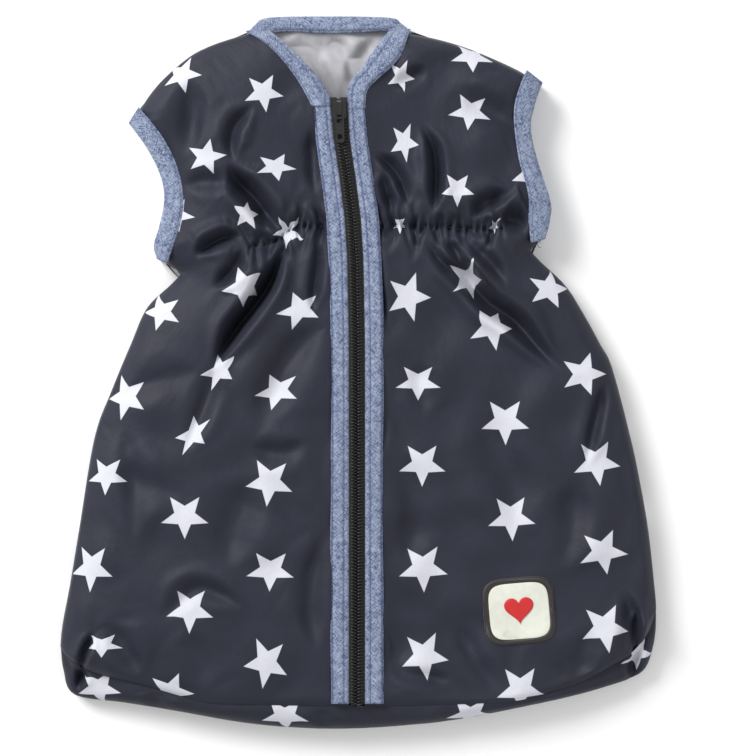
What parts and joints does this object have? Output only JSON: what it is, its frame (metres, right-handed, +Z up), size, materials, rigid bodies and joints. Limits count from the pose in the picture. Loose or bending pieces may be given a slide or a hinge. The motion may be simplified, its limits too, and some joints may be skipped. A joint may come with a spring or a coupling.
{
  "type": "baby sleeping bag",
  "caption": "Quilted sleeveless sleeping bag for a baby doll with a full-length front zip, bound neck and armholes, star-print shell and a small patch.",
  "frame": {"origin": "centre of the underside of the bag's bounding box, on the floor it lies on", "axes": "+X to the right across the bag seen from above, +Y from the foot to the neck, +Z up through the front"},
  "size_m": [0.3614, 0.4302, 0.0328],
  "materials": {
    "star_shell": "satin",
    "wadding": "matte",
    "lining": "matte",
    "elastic": "matte",
    "binding": "matte",
    "zip_tape": "matte",
    "zip_coil": "satin",
    "slider": "gloss",
    "patch_brown": "matte",
    "patch_face": "matte",
    "patch_heart": "matte"
  },
  "bodies": {
    "bag": {"back_shell": "star_shell", "base_shell": "star_shell", "left_side_shell": "star_shell", "right_side_shell": "star_shell", "back_wadding": "wadding", "base_wadding": "wadding", "left_side_wadding": "wadding", "right_side_wadding": "wadding", "back_lining": "lining", "base_lining": "lining", "left_side_lining": "lining", "right_side_lining": "lining", "left_side_elastic": "elastic", "right_side_elastic": "elastic", "back_neck_binding": "binding", "left_armhole_binding": "binding", "right_armhole_binding": "binding", "left_side_zip_band": "binding", "right_side_zip_band": "binding", "left_side_zip_tape": "zip_tape", "right_side_zip_tape": "zip_tape", "left_side_coil": "zip_coil", "right_side_coil": "zip_coil", "patch_frame": "patch_brown", "patch_face": "patch_face", "patch_heart": "patch_heart"},
    "left_flap": {"left_flap_shell": "star_shell", "left_flap_wadding": "wadding", "left_flap_lining": "lining", "left_flap_elastic": "elastic", "left_flap_zip_band": "binding", "left_flap_zip_tape": "zip_tape", "left_flap_coil": "zip_coil", "left_neck_binding": "binding"},
    "right_flap": {"right_flap_shell": "star_shell", "right_flap_wadding": "wadding", "right_flap_lining": "lining", "right_flap_elastic": "elastic", "right_flap_zip_band": "binding", "right_flap_zip_tape": "zip_tape", "right_flap_coil": "zip_coil", "right_neck_binding": "binding"},
    "slider": {"slider_body": "slider", "slider_crown": "slider"},
    "pull": {"pull_tab": "slider"}
  },
  "joints": [
    {"name": "zip_slide", "type": "slide", "parent": "bag", "child": "slider", "axis": [0.0302, -0.9995, 0], "range_m": [0, 0.35]},
    {"name": "left_flap_fold", "type": "hinge", "parent": "bag", "child": "left_flap", "pos_m": [-0.0058, -0.1915, 0.029], "axis": [0.1483, -0.9889, 0], "range_deg": [0, 160.01]},
    {"name": "right_flap_fold", "type": "hinge", "parent": "bag", "child": "right_flap", "pos_m": [0.0046, -0.1915, 0.029], "axis": [0.0617, 0.9981, 0], "range_deg": [0, 160.01]},
    {"name": "pull_tab_swing", "type": "hinge", "parent": "slider", "child": "pull", "pos_m": [-0.01108, 0.15435, 0.0315], "axis": [-0.9995, -0.0302, 0], "range_deg": [0, 160]}
  ],
  "couplings": [
    {"joint": "left_flap_fold", "follows": "zip_slide", "rad_per_m": 7.9786},
    {"joint": "right_flap_fold", "follows": "zip_slide", "rad_per_m": 7.9786}
  ]
}
